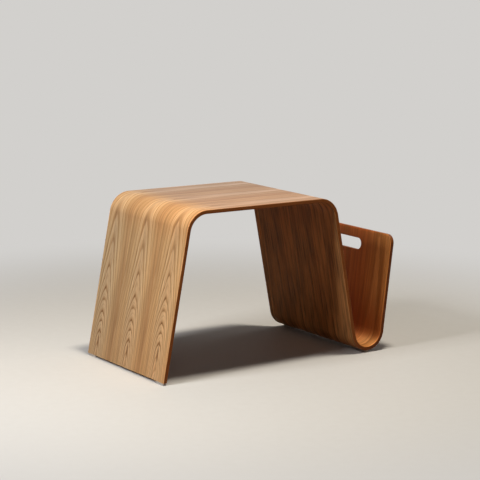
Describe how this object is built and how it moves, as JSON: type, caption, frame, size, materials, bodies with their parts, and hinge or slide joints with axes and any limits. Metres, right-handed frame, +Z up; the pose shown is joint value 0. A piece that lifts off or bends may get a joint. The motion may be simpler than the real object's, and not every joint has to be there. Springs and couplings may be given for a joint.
{
  "type": "magazine side table",
  "caption": "Side table moulded from one bent plywood strip: splayed leg, flat top and a U-shaped magazine pocket with a hand slot, on small foot pads.",
  "frame": {"origin": "on the floor, midway between the two ends and the two sides", "axes": "+X along the table from the leg to the magazine pocket, +Y across the strip, +Z up"},
  "size_m": [0.7454, 0.39, 0.44],
  "materials": {
    "face_veneer": "satin clear lacquer over straight and cathedral grain",
    "long_ply": "sanded and lacquered edge, grain along the strip",
    "cross_ply": "sanded and lacquered edge, end grain",
    "pad_plastic": "pale translucent moulded plastic",
    "screw_steel": "zinc plated steel"
  },
  "bodies": {
    "root": {"upper_face_front_leaf": "face_veneer", "upper_face_middle_leaf": "face_veneer", "upper_face_rear_leaf": "face_veneer", "under_face_front_leaf": "face_veneer", "under_face_middle_leaf": "face_veneer", "under_face_rear_leaf": "face_veneer", "core_ply_1_cross": "cross_ply", "core_ply_2_long": "long_ply", "core_ply_3_cross": "cross_ply", "core_ply_4_long": "long_ply", "core_ply_5_cross": "cross_ply", "core_ply_6_long": "long_ply", "core_ply_7_cross": "cross_ply", "leg_pad_front": "pad_plastic", "leg_pad_rear": "pad_plastic", "pocket_pad_front": "pad_plastic", "pocket_pad_rear": "pad_plastic", "pad_screws": "screw_steel"}
  },
  "joints": []
}
